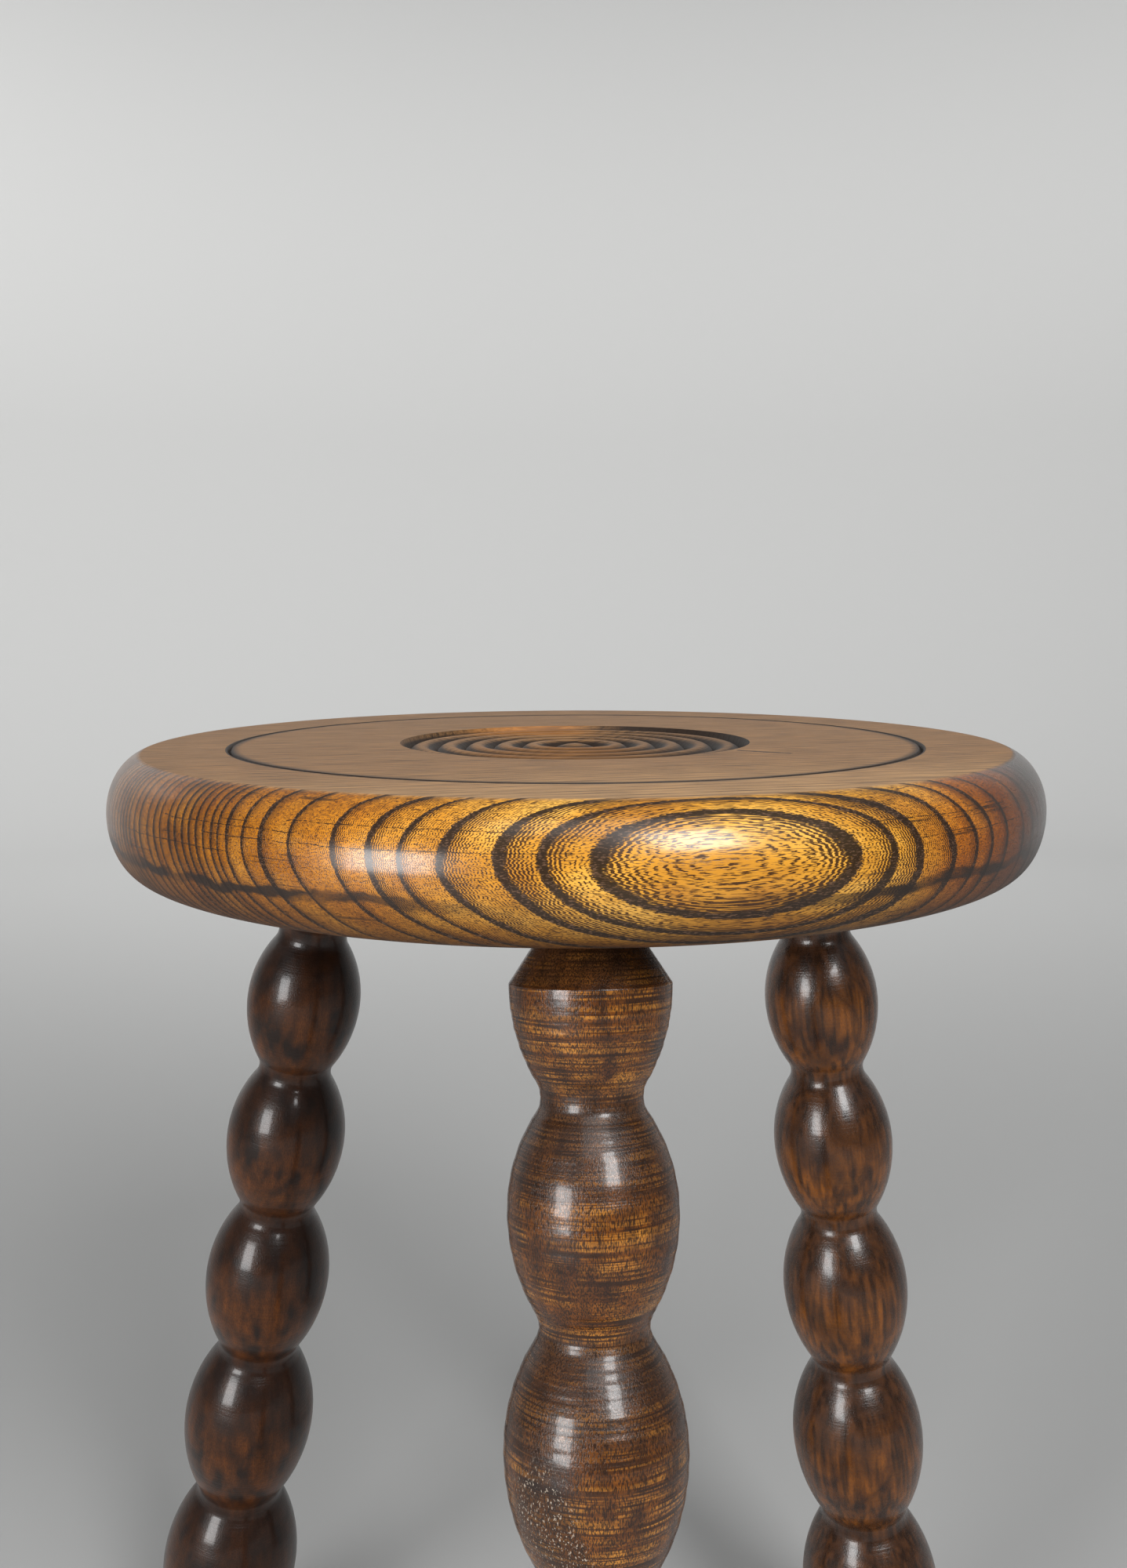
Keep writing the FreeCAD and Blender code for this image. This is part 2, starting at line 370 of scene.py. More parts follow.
@dataclass
class Seat:
    """Round turned seat: rolled edge, flat top with an incised ring, and a sunk roundel of concentric reeds."""

    diameter: float = 300.0
    thickness: float = 35.0
    edge_roll_above: float = 13.2
    edge_break_height: float = 0.4
    edge_roll_below: float = 10.0
    ring_radius: float = 113.0
    ring_width: float = 1.6
    ring_depth: float = 1.4
    roundel_radius: float = 58.5
    roundel_wall_run: float = 2.1
    reed_count: int = 6
    reed_crest_depth: float = 1.0
    reed_valley_depth: float = 4.2
    columns: int = 512
    grain_turn: float = 14.0  # degrees the grain is turned from straight across the stool
    ring_lean: float = 9.0  # degrees the ring surfaces lean, in the middle of the board
    ring_twist: float = -0.0012  # change of that lean's tangent for each millimetre along the grain
    flat_radius: float = 140.6  # where the worn top ends
    bare_patch: tuple[float, float, float, float] = (-17.0, 47.0, 22.0, 15.0)  # its middle and half size
    grime_and_shade_limit: float = 0.97  # most that dirt and painted shade cover
    rings: GrowthRings = field(default_factory=lambda: GrowthRings(
        146.5, (3.0, 3.0, 5.0, 4.5, 4.0, 5.0, 7.5, 6.5, 4.0, 4.5, 2.5, 2.0, 2.5, 2.5, 2.5, 2.5,
                3.0, 2.5, 4.0, 3.0, 3.5, 5.0, 3.5, 4.0)))

    def __post_init__(self) -> None:
        """Reads the seat's middle and height from its solid."""
        low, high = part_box("seat")
        self.axis = np.array([(low.x + high.x) / 2, (low.y + high.y) / 2, 0.0]) / MM
        self.top = high.z / MM
        self.middle = self.top - self.thickness / 2

    def edge(self) -> np.ndarray:
        """Rolled edge: an upper elliptic quarter cut by the flat, and a tighter lower one.

        Radius is the roll's centre plus its reach times the sine of the turn; height is the middle plus its rise
        times the cosine.

        Returns:
            Points from the flat top to the flat underside.
        """
        rim, half = self.diameter / 2, self.thickness / 2
        rise = half + self.edge_break_height
        start = math.acos(half / rise)
        upper = np.concatenate([[start, start + 0.012], np.linspace(start + 0.05, math.pi / 2, 27)])
        lower = np.linspace(math.pi / 2, math.pi, 22)[1:]
        above = np.stack([rim - self.edge_roll_above + self.edge_roll_above * np.sin(upper),
                          self.middle + rise * np.cos(upper)], -1)
        below = np.stack([rim - self.edge_roll_below + self.edge_roll_below * np.sin(lower),
                          self.middle + half * np.cos(lower)], -1)
        return np.concatenate([above, below])

    def roundel(self) -> np.ndarray:
        """Button, reeds and outer wall of the sunk roundel.

        The button is an arc that falls from its crest on the axis to the first valley, and each reed is an arc
        from valley over crest to valley.

        Returns:
            Points from the axis outwards to the flat top.
        """
        pitch = (self.roundel_radius - self.roundel_wall_run) / self.reed_count
        rise = self.reed_valley_depth - self.reed_crest_depth
        crest = self.top - self.reed_crest_depth
        button = (pitch ** 2 + rise ** 2) / (2 * rise)
        reach = spaced(0.0, pitch, 1.3)[1:]
        runs = [np.stack([reach, crest - button + np.sqrt(button ** 2 - reach ** 2)], -1)]
        reed = (pitch ** 2 / 4 + rise ** 2) / (2 * rise)
        offset = spaced(-pitch / 2, pitch / 2, 0.95)[1:]
        for number in range(1, self.reed_count):
            centre = (number + 0.5) * pitch
            runs.append(np.stack([centre + offset, crest - reed + np.sqrt(reed ** 2 - offset ** 2)], -1))
        foot = (self.reed_count * pitch, self.top - self.reed_valley_depth)
        runs.append(straight(foot, (self.roundel_radius, self.top), 0.9)[1:])
        return np.concatenate(runs)

    def section(self) -> np.ndarray:
        """Joins the roundel, the flats with the incised ring between them, the edge and the underside.

        Returns:
            Radius and height from the axis on top, round the rim, to the axis below.
        """
        half = self.ring_width / 2
        edge = self.edge()
        corners = [(self.roundel_radius, self.top), (self.ring_radius - half, self.top),
                   (self.ring_radius, self.top - self.ring_depth), (self.ring_radius + half, self.top),
                   (self.ring_radius + half + 0.4, self.top), (float(edge[0, 0]), self.top)]
        steps = (2.5, 0.5, 0.5, 0.4, 2.5)
        flats = [straight(a, b, step)[1:] for a, b, step in zip(corners, corners[1:], steps)]
        bottom = self.top - self.thickness
        under = straight((float(edge[-1, 0]), bottom), (1.0, bottom), 8.0)[1:]
        return np.concatenate([self.roundel(), *flats, edge[1:], under])

    def wood(self, points: np.ndarray) -> dict[str, np.ndarray]:
        """Where each point lies in the board.

        Along the grain and across the rings are level directions, turned by grain_turn.  To the distance across
        comes the height times the tangent of the lean, which ring_twist changes along the board, less a bend by
        the square of the drop below the middle, on the left, plus waves of up to half a millimetre that die out
        at the bark.

        Args:
            points: Points in millimetres, one row each.

        Returns:
            Vertex attributes: grain (along, across, up), ring, ring_width, worn, the dirt and painted shade, and
                bare.
        """
        turn = math.radians(self.grain_turn)
        x, y, up = (points - self.axis - [0.0, 0.0, self.middle]).T
        along = x * math.cos(turn) + y * math.sin(turn)
        across = x * math.sin(turn) - y * math.cos(turn)
        lean = math.tan(math.radians(self.ring_lean)) + self.ring_twist * np.clip(along, -110, 150)
        bend = 0.0045 * (1 - np.tanh((along + 45) / 35)) * np.minimum(up, 0) ** 2
        wave = 0.35 * np.sin(along / 17 + up / 9) + 0.2 * np.sin(along / 7.3 - up / 5 + across / 31)
        across = across + lean * up - bend + wave * np.clip((150 - across) / 12, 0, 1)
        number, width = self.rings.count_at(across)
        depth = self.thickness / 2 - up
        flat = np.clip((self.flat_radius - np.hypot(x, y)) / 1.2, 0, 1) * np.clip(6.0 - depth, 0, 1)
        grime_and_shade, bare = self.wear_and_shade(x, y, depth)
        return {"grain": np.stack([along, across, up], -1), "ring": number, "ring_width": width, "worn": flat,
                "grime_and_shade": flat * np.clip(grime_and_shade, 0, self.grime_and_shade_limit), "bare": bare}

    def wear_and_shade(self, x: np.ndarray, y: np.ndarray, depth: np.ndarray) -> tuple[np.ndarray, np.ndarray]:
        """Dirt, painted shade and bare wood on the top.

        Dirt and painted shade fill the incised ring, the valleys between the reeds and the roundel's outer
        corner, more of it on the right.  A patch at the roundel's back left is rubbed bare, and so, by half, is
        its front.  A hair of bare wood shows outside the ring, left of the middle.

        Args:
            x: Distance to the right of the seat's axis.
            y: Distance behind it.
            depth: Depth below the flat top.

        Returns:
            Share of dirt and painted shade, and share that is rubbed bare.
        """
        radius = np.hypot(x, y)
        middle_x, middle_y, half_x, half_y = self.bare_patch
        patch = np.exp(-((x - middle_x) / half_x) ** 4 - ((y - middle_y) / half_y) ** 4)
        front = np.exp(-((x + 6) / 30) ** 4) * np.clip(-y / 15, 0, 1)
        # Painted shade with some dirt: the valleys, the outer corner and, more strongly, the right side of the
        # roundel darken
        valley = np.clip((depth - self.reed_crest_depth - 0.02) / 0.8, 0, 1) * (1 - 0.55 * patch - 0.35 * front)
        corner = np.clip((radius - 52) / 4, 0, 1) * (0.55 + 0.4 * np.clip(x / 40, 0, 1)) * (1 - patch)
        right = 0.3 * np.clip(x / 30, 0, 1) * (1 - patch)
        # Painted shade with some dirt in the incised ring
        groove = np.abs(radius - self.ring_radius - 0.17) < self.ring_width / 2 + 0.3
        beside = np.abs(radius - self.ring_radius - 1.2) < 0.03
        lip = beside * np.clip((x + 45) / 20, 0, 1) * np.clip(-x / 12, 0, 1)
        sunk = radius < self.roundel_radius + 0.1
        darkened = self.grime_and_shade_limit * valley + corner + 0.25 * front + right
        grime_and_shade = np.where(sunk, darkened, self.grime_and_shade_limit * groove)
        return grime_and_shade, np.where(sunk, patch + 0.5 * front, lip)

    def build(self, finish: bpy.types.Material) -> bpy.types.Object:
        """Turns the seat and settles it in place of its solid.

        Args:
            finish: The seat's material.

        Returns:
            The seat piece.
        """
        section = self.section()
        angle = np.linspace(0, 2 * math.pi, self.columns, endpoint=False)
        radius, height = section[:, :1], section[:, 1:]
        grid = np.stack([self.axis[0] + radius * np.cos(angle), self.axis[1] + radius * np.sin(angle),
                         np.broadcast_to(height, (len(section), self.columns))], -1)
        top = self.axis + [0, 0, self.top - self.reed_crest_depth]
        bottom = self.axis + [0, 0, self.top - self.thickness]
        return settle(turned_mesh("seat_turning", grid, [top, bottom], self.wood), finish, "seat")


class Stand(Enum):
    """The three legs: name of the solid, azimuth of its mortise, splay and turn of its lean, in degrees."""

    FRONT = ("leg_front", -88.0, 11.1, 0.9)
    RIGHT_REAR = ("leg_right_rear", 34.0, 6.1, -28.0)
    LEFT_REAR = ("leg_left_rear", 151.0, 10.4, 6.8)


@dataclass
class Leg:
    """One bobbin-turned leg: neck, flared collar, bobbins that grow downwards, and a foot cut level."""

    stand: Stand
    seat: Seat
    ring_turn: float  # degrees from the viewer's side to the bark side of the blank
    ring_width: float = 5.0
    ring_wave: float = 1.0  # how strongly the rings swirl, in millimetres
    scuffs: tuple[tuple[float, float, float, float], ...] = ()  # sideways, drop, width and height
    neck_radius: float = 12.5
    neck_length: float = 4.0
    collar_drop: float = 17.0
    collar_radius: float = 21.0
    first_waist_drop: float = 45.8
    waist_radius: float = 13.1
    waist_fillet: float = 7.5
    waist_growth: float = 0.070
    bobbin_length: float = 56.9
    bobbin_radius: float = 21.8
    bobbin_length_growth: float = 0.0645
    bobbin_radius_growth: float = 0.0635
    bobbin_count: int = 5
    foot_length: float = 43.0
    foot_bulge_drop: float = 24.0
    foot_radius: float = 26.5
    sole_radius: float = 20.5
    leg_circle_radius: float = 108.0
    columns: int = 120
    row_step: float = 0.55
    gouge: float = 1.0  # how strongly the gouge's ridges show
    dark_above_waist: float = 5.0  # millimetres above each waist that stay dark: stain, on the rear legs partly painted shade

    def __post_init__(self) -> None:
        """Works out the leg's axis, its two directions across, and its waists and swells."""
        _, azimuth, splay, turn = self.stand.value
        out, lean, tilt = (math.radians(a) for a in (azimuth, azimuth + turn, splay))
        self.underside = self.seat.top - self.seat.thickness
        self.head = self.seat.axis + [self.leg_circle_radius * math.cos(out),
                                      self.leg_circle_radius * math.sin(out), self.underside]
        self.down = np.array([math.cos(lean) * math.sin(tilt), math.sin(lean) * math.sin(tilt), -math.cos(tilt)])
        self.side = np.cross([0.0, -1.0, 0.0], self.down)
        self.side /= -np.linalg.norm(self.side)
        self.front = np.cross(self.side, -self.down)
        order = np.arange(self.bobbin_count + 1)
        lengths = self.bobbin_length * (1 + self.bobbin_length_growth) ** order
        self.waist_drops = self.first_waist_drop + np.concatenate([[0.0], np.cumsum(lengths[:-1])])
        self.waist_radii = self.waist_radius * (1 + self.waist_growth) ** order
        middles = (self.waist_drops[1:] + self.waist_drops[:-1]) / 2
        foot_drop = self.waist_drops[-1] + self.foot_bulge_drop
        self.swell_drops = np.concatenate([[self.collar_drop], middles, [foot_drop]])
        radii = self.bobbin_radius * (1 + self.bobbin_radius_growth) ** order[:-1]
        self.swell_radii = np.concatenate([[self.collar_radius], radii, [self.foot_radius]])

    def radius_at(self, drop: np.ndarray) -> np.ndarray:
        """Radius of the turning at a drop down the axis.

        The neck is straight and the flare a cone.  From each swell an arc runs out to a waist and meets the
        waist's small fillet arc on their common tangent; a last arc draws the toe in to the sole.

        Args:
            drop: Millimetres down the axis from the underside of the seat.

        Returns:
            Radius at each drop.
        """
        share = (drop - self.neck_length) / (self.collar_drop - self.neck_length)
        radius = self.neck_radius + (self.collar_radius - self.neck_radius) * np.clip(share, 0, 1)
        below = np.arange(1, len(self.swell_drops))
        halves = [*zip(self.swell_drops, self.swell_radii, self.waist_drops, self.waist_radii),
                  *zip(self.swell_drops[below], self.swell_radii[below], self.waist_drops, self.waist_radii)]
        for swell_drop, swell_radius, waist_drop, waist_radius in halves:
            run = abs(waist_drop - swell_drop)
            offset = waist_radius + self.waist_fillet - swell_radius
            swell = (run ** 2 + offset ** 2 - self.waist_fillet ** 2) / (2 * (self.waist_fillet - offset))
            joint = run * swell / (swell + self.waist_fillet)
            reach = np.clip(np.abs(drop - swell_drop), 0, joint)
            fillet = np.clip(np.abs(drop - waist_drop), 0, run - joint)
            on_swell = swell_radius - swell + np.sqrt(swell ** 2 - reach ** 2)
            on_waist = waist_radius + self.waist_fillet - np.sqrt(self.waist_fillet ** 2 - fillet ** 2)
            inside = (drop - swell_drop) * (drop - waist_drop) <= 0
            near = np.abs(drop - swell_drop) <= joint
            radius = np.where(inside, np.where(near, on_swell, on_waist), radius)
        run, draw_in = self.foot_length - self.foot_bulge_drop, self.foot_radius - self.sole_radius
        toe = (run ** 2 + draw_in ** 2) / (2 * draw_in)
        past = np.clip(drop - self.swell_drops[-1], 0, run + 2)
        drawn_in = self.foot_radius - toe + np.sqrt(toe ** 2 - past ** 2)
        return np.where(drop > self.swell_drops[-1], drawn_in, radius)

    def tool_marks(self, drop: np.ndarray) -> np.ndarray:
        """Shallow ridges that the gouge left: sums of fine sine ripples that come and go down the leg.

        Args:
            drop: Millimetres down the axis.

        Returns:
            Height of the ridges in millimetres.
        """
        coming = 0.5 + 0.5 * np.sin(drop / 11 + self.ring_turn)
        fine = np.sin(drop * 2 * math.pi / 2.3 + 1.5 * np.sin(drop / 9))
        broad = np.sin(drop * 2 * math.pi / 5.7 + 2.0 * np.sin(drop / 23))
        calm = np.clip((drop - self.collar_drop - 2) / 6, 0, 1)
        return self.gouge * calm * (0.045 * coming * fine + 0.05 * broad)

    def cut(self, height: float, outward: np.ndarray, guess: float) -> np.ndarray:
        """Drop at which each column of the turning meets a level plane, by repeated substitution.

        Height over the floor is the head's height plus the radius times the column's rise, less the drop times
        the axis's fall, so drop is solved for and put back in until it stands still.

        Args:
            height: Height of the plane in millimetres.
            outward: Direction of each column across the axis.
            guess: First drop to try.

        Returns:
            Drop of each column.
        """
        drop = np.full(len(outward), guess)
        for _ in range(40):
            drop = (self.head[2] - height + self.radius_at(drop) * outward[:, 2]) / -self.down[2]
        return drop

    def build(self, finish: bpy.types.Material) -> bpy.types.Object:
        """Turns the leg, cuts it to the seat and the floor, and settles it in place of its solid.

        Args:
            finish: The leg's material.

        Returns:
            The leg piece.
        """
        node = self.stand.value[0]
        angle = np.linspace(0, 2 * math.pi, self.columns, endpoint=False)
        outward = np.cos(angle)[:, None] * self.side - np.sin(angle)[:, None] * self.front
        top, toe = self.cut(self.underside + 0.1, outward, 0.0), self.cut(0.25, outward, 400.0)
        last = float(self.swell_drops[-1])
        upper = top + np.array([0.0, 0.4, 0.75, 1.0])[:, None] * (self.neck_length - 0.1 - top)
        middle = np.concatenate([spaced(self.neck_length, self.collar_drop, 0.65),
                                 spaced(self.collar_drop, last, self.row_step)[1:]])
        lower = last + np.linspace(0, 1, 30)[1:, None] * (toe - last)
        drops = np.concatenate([upper, np.repeat(middle[:, None], self.columns, 1), lower])
        egg = 0.12 * np.cos(2 * angle + 0.7) * np.clip(drops / 60, 0, 1)
        radius = self.radius_at(drops) + self.tool_marks(drops) * np.clip((last + 12 - drops) / 12, 0, 1) + egg
        grid = self.head + drops[..., None] * self.down + radius[..., None] * outward
        sole = grid[-1].mean(0) * [1, 1, 0]
        rings = sole + (grid[-1] * [1, 1, 0] - sole) * np.array([0.985, 0.6])[:, None, None]
        grid = np.concatenate([grid, rings])
        return settle(turned_mesh(node + "_turning", grid, [grid[0].mean(0), sole], self.wood), finish, node)

    def wood(self, points: np.ndarray) -> dict[str, np.ndarray]:
        """Where each point lies in the leg's blank.

        The grain runs down the axis.  The rings are cylinders about a far pith, waved along the leg, so that each
        swell cuts them into ovals on the bark side and long lines on its flanks.  The stain is whole just below
        each waist and rubbed through from the swell down to a band above the next waist that stays dark; the
        rear legs' wider band is partly painted shade in the crease.

        Args:
            points: Points in millimetres, one row each.

        Returns:
            Vertex attributes: grain (sideways, towards the viewer, down), ring, worn and scuff.
        """
        offset = points - self.head
        drop, sideways, near = offset @ self.down, offset @ self.side, offset @ self.front
        turn = math.radians(self.ring_turn)
        across = near * math.cos(turn) + sideways * math.sin(turn)
        beside = sideways * math.cos(turn) - near * math.sin(turn)
        wave = np.sin(drop / 19 + beside / 13) + 0.5 * np.sin(drop / 8.3 - beside / 7 + across / 9)
        number = (across - beside ** 2 / 90 + self.ring_wave * wave) / self.ring_width + 20
        # The band above each waist stays dark: stain, and on the rear legs partly painted shade
        stained = self.dark_above_waist
        places = [0.0, self.collar_drop - 0.4, self.collar_drop, self.first_waist_drop - stained]
        shares = [0.1, 0.3, 0.8, 0.95]
        for waist, swell in zip(self.waist_drops, self.swell_drops[1:]):
            places += [waist + 1.5, (waist + 2 * swell) / 3, swell + 2, 2 * swell - waist - stained]
            shares += [0.15, 0.38, 0.9, 1.0]
        scuff = sum(np.clip(1.4 - np.hypot((sideways - right) / wide, (drop - far) / tall), 0, 1)
                    for right, far, wide, tall in self.scuffs) if self.scuffs else np.zeros(len(points))
        return {"grain": np.stack([sideways, near, drop], -1), "ring": number,
                "worn": np.interp(drop, places, shares), "scuff": np.clip(scuff, 0, 0.6) * (near < 0)}


def grain_noise(tree: bpy.types.NodeTree, grain: bpy.types.NodeSocket,
                sizes: dict[str, Vector3]) -> dict[str, bpy.types.NodeSocket]:
    """Noise patterns drawn out along the wood's own directions: noise of the grain place over the pattern's size.

    Args:
        tree: Node tree that takes the patterns.
        grain: Place in the wood, in millimetres.
        sizes: Name of each pattern, with its size in millimetres in the wood's three directions.

    Returns:
        Name of each pattern, with its value between 0 and 1.
    """
    noise = {}
    for name, size in sizes.items():
        place = add_node(tree, "VectorMath", {0: grain, 1: tuple(1 / length for length in size)},
                         operation="MULTIPLY")
        noise[name] = add_node(tree, "TexNoise", {"Vector": place, "Scale": 1.0, "Roughness": 0.55,
                                                  "Detail": 3.0 if name == "flow" else 1.5})
    return noise


def seat_material(finish: WaxedElm) -> bpy.types.Material:
    """Waxed elm for the seat.

    Args:
        finish: Colours, pore sizes and sheen.

    Returns:
        The node material.
    """
    material, tree = new_material("waxed_elm")
    add = partial(add_node, tree)
    grain = add("Attribute", output=1, attribute_name="grain")
    ring, width, worn, grime_and_shade, bare = (add("Attribute", output=2, attribute_name=name)
                                      for name in ("ring", "ring_width", "worn", "grime_and_shade", "bare"))
    along, across, up = add("SeparateXYZ", {0: grain}).node.outputs
    noise = grain_noise(tree, grain, {**SEAT_PATTERNS, "pores": finish.pore_size, "top": finish.top_size})

    # Growth rings, counted from a boundary that the pores shake a little.  Each year's early wood has a depth of
    # its own, by chance, and the zone of dense pores beyond it reaches 3.2 times as far
    shaken = add("MapRange", (noise["pores"], 0.3, 0.7, -0.16, 0.16))
    shift = add("DIVIDE", (shaken, width))
    placed = add("ADD", (ring, shift))
    year = add("FLOOR", (placed,))
    part = add("FRACT", (placed,))
    since = add("MULTIPLY", (part, width))
    chance = add("TexWhiteNoise", {"W": year}, noise_dimensions="1D")
    depth = add("MapRange", (chance, 0.0, 1.0, 0.48, 0.98))
    swell = add("MapRange", (noise["patches"], 0.35, 0.65, 0.75, 1.25))
    depth = add("MULTIPLY", (depth, swell))
    brink = add("ADD", (depth, 0.22))
    far = add("MULTIPLY", (depth, 3.2))
    early, near = (add("MapRange", (since, depth, end, 1.0, 0.0)) for end in (brink, far))

    # Early wood is solid dark with small light flecks; the pore lines beyond it follow the rings, shift in level
    # layers to make zigzags, and run together near the band
    bands = add("MULTIPLY", (early, 0.97))
    flecks = add("MapRange", (noise["flecks"], 0.54, 0.66, 0.0, 0.75))
    flecks = add("MULTIPLY", (early, flecks))
    waver = add("MapRange", (noise["waver"], 0.25, 0.75, -0.55, 0.55))
    phase = add("MULTIPLY_ADD", (across, 1 / finish.band_pitch, waver))
    phase = add("MULTIPLY", (phase, 2 * math.pi))
    phase = add("SINE", (phase,))
    dashes = add("MULTIPLY_ADD", (near, 0.95, phase))
    dashes = add("MapRange", (dashes, 0.0, 0.6))
    breaks = add("MULTIPLY_ADD", (near, 0.25, noise["breaks"]))
    breaks = add("MapRange", (breaks, 0.43, 0.52, 0.0, 1.0))
    dashes = add("MULTIPLY", (dashes, breaks))
    vessels = add("MapRange", (noise["pores"], 0.36, 0.43, 0.85, 0.0))
    pores = add("MAXIMUM", (dashes, vessels))
    pores = add("MULTIPLY", (pores, 0.95))
    darkness = add("MAXIMUM", (bands, pores))

    # Ground colour: amber in the middle of the front, brown towards the ends of the grain, a brown painted shade
    # underneath
    warm = add("ValToRGB", {0: noise["flow"]}, ramp=finish.flow)
    place = add("MapRange", (along, -finish.tint_reach, finish.tint_reach))
    # The tint is partly painted: a reflection greys the left end and a shade darkens the right end
    tint = add("ValToRGB", {0: place}, ramp=finish.tint)
    wood = add("Mix", {0: 1.0, 6: warm, 7: tint}, **COLOUR, blend_type="MULTIPLY")
    # Painted shade: the lower roll darkens towards the underside colour, the more the lower it is
    painted_shade_below = add("MapRange", (up, -17.0, -1.0, 0.92, 0.0))
    dark = add("Mix", {0: bands, 6: finish.dash, 7: finish.pore}, **COLOUR)

    # The worn top: brown, paler towards the front rim, amber where it is bare, with its pores cut lengthwise
    rubbed = add("MapRange", (noise["flow"], 0.35, 0.6, 0.6, 1.0))
    rubbed = add("MULTIPLY", (rubbed, bare))
    rim = add("MapRange", (across, 70.0, 135.0))
    brown = add("Mix", {0: rim, 6: finish.worn_brown, 7: finish.worn_rim}, **COLOUR)
    brown = add("Mix", {0: rubbed, 6: brown, 7: finish.bare_amber}, **COLOUR)
    lines = add("MapRange", (noise["top"], 0.4, 0.58, 0.62, 0.0))
    shade = add("MULTIPLY_ADD", (bands, 0.38, lines), use_clamp=True)
    calm = add("MapRange", (bare, 0.0, 0.3, 1.0, 0.5))
    shade = add("MULTIPLY", (shade, calm))
    top = add("Mix", {0: shade, 6: brown, 7: finish.top_line}, **COLOUR)

    # Mineral streak: a dark level layer low in the board, strong towards the two ends
    veer = add("MapRange", (noise["flow"], 0.3, 0.7, -1.6, 1.6))
    level = add("ADD", (up, veer))
    away = add("ADD", (level, finish.streak_depth))
    away = add("ABSOLUTE", (away,))
    streak = add("MapRange", (away, 0.8, 1.9, 1.0, 0.0), interpolation_type="SMOOTHSTEP")
    reach = add("ADD", (along, 22.0))
    reach = add("ABSOLUTE", (reach,))
    reach = add("MapRange", (reach, 15.0, 66.0))
    patchy = add("MapRange", (noise["patches"], 0.36, 0.52, 0.5, 1.0))
    streak = add("MULTIPLY", (streak, patchy))
    marks = [add("MULTIPLY", (streak, reach))]

    # Drying checks: hair cracks along the grain, each at its own height and between its own ends
    veer = add("MapRange", (noise["flow"], 0.3, 0.7, -0.45, 0.45))
    level = add("ADD", (up, veer))
    broken = add("MapRange", (noise["breaks"], 0.36, 0.5, 0.25, 1.0))
    for height, start, end in finish.checks:
        away = add("COMPARE", (level, height, finish.check_half_width))
        inside = add("COMPARE", (along, (start + end) / 2, (end - start) / 2))
        away = add("MULTIPLY", (away, inside))
        marks.append(add("MULTIPLY", (away, broken)))

    # Rays: fine level lines in patches towards the two ends
    rays = add("MapRange", (noise["rays"], 0.33, 0.4, 0.75, 0.0))
    patchy = add("MapRange", (noise["patches"], 0.5, 0.6))
    rays = add("MULTIPLY", (rays, patchy))
    marks.append(add("MULTIPLY", (rays, reach)))
    mark = marks[0]
    for other in marks[1:]:
        mark = add("MAXIMUM", (mark, other))
    unworn = add("MapRange", (worn, 0.0, 1.0, 0.95, 0.0))
    mark = add("MULTIPLY", (mark, unworn))

    # One crack on the flat top, out from the roundel's right end
    (half_width, beside), (turned, middle, half_length) = finish.top_crack
    turn = math.radians(turned)
    sideways, lengthways = (math.sin(turn), -math.cos(turn), 0.0), (math.cos(turn), math.sin(turn), 0.0)
    side = add("VectorMath", {0: grain, 1: sideways}, 1, operation="DOT_PRODUCT")
    side = add("ADD", (veer, side))
    side = add("COMPARE", (side, beside, half_width))
    inside = add("VectorMath", {0: grain, 1: lengthways}, 1, operation="DOT_PRODUCT")
    inside = add("COMPARE", (inside, middle, half_length))
    for other in (inside, worn):
        side = add("MULTIPLY", (side, other))
    mark = add("MAXIMUM", (mark, side))

    # Old stain in blotches at the right end, thinner on the end grain beyond it, and dirt with painted shade in
    # the groove and between the reeds
    blotch = add("MapRange", (noise["patches"], 0.4, 0.58, 0.1, 0.85))
    at_end = add("MapRange", (along, 72.0, 112.0))
    beyond = add("MapRange", (along, 116.0, 138.0, 1.0, 0.4))
    edge_only = add("MapRange", (worn, 0.0, 1.0, 1.0, 0.0))
    for share in (at_end, beyond, edge_only):
        blotch = add("MULTIPLY", (blotch, share))
    # The last mix lays dirt and painted shade in the streak's dark colour
    for share, colour in ((painted_shade_below, finish.underside), (darkness, dark), (flecks, finish.fleck), (worn, top),
                          (mark, finish.streak), (blotch, finish.stain), (grime_and_shade, finish.streak)):
        wood = add("Mix", {0: share, 6: wood, 7: colour}, **COLOUR)

    # Wax: satin on the edge, duller on the worn top and underneath, where it is rubbed off or never was put on
    rough = add("MapRange", (darkness, 0.0, 1.0, finish.roughness, finish.roughness + 0.06))
    dull = add("MULTIPLY", (worn, 0.25))
    dull = add("MULTIPLY_ADD", (painted_shade_below, 0.3, dull))
    rough = add("ADD", (rough, dull))
    coat = add("MapRange", (dull, 0.0, 0.22, 0.25, 0.0))
    dents = add("MULTIPLY", (darkness, -1.0))
    bump = add("Bump", {"Strength": 0.6, "Distance": finish.pore_depth, "Height": dents})
    shader = add("BsdfPrincipled", {"Base Color": wood, "Roughness": rough, "Normal": bump, "IOR": 1.46,
                                    "Specular IOR Level": 0.4, "Coat Weight": coat, "Coat Roughness": 0.14})
    add("OutputMaterial", {0: shader})
    return material


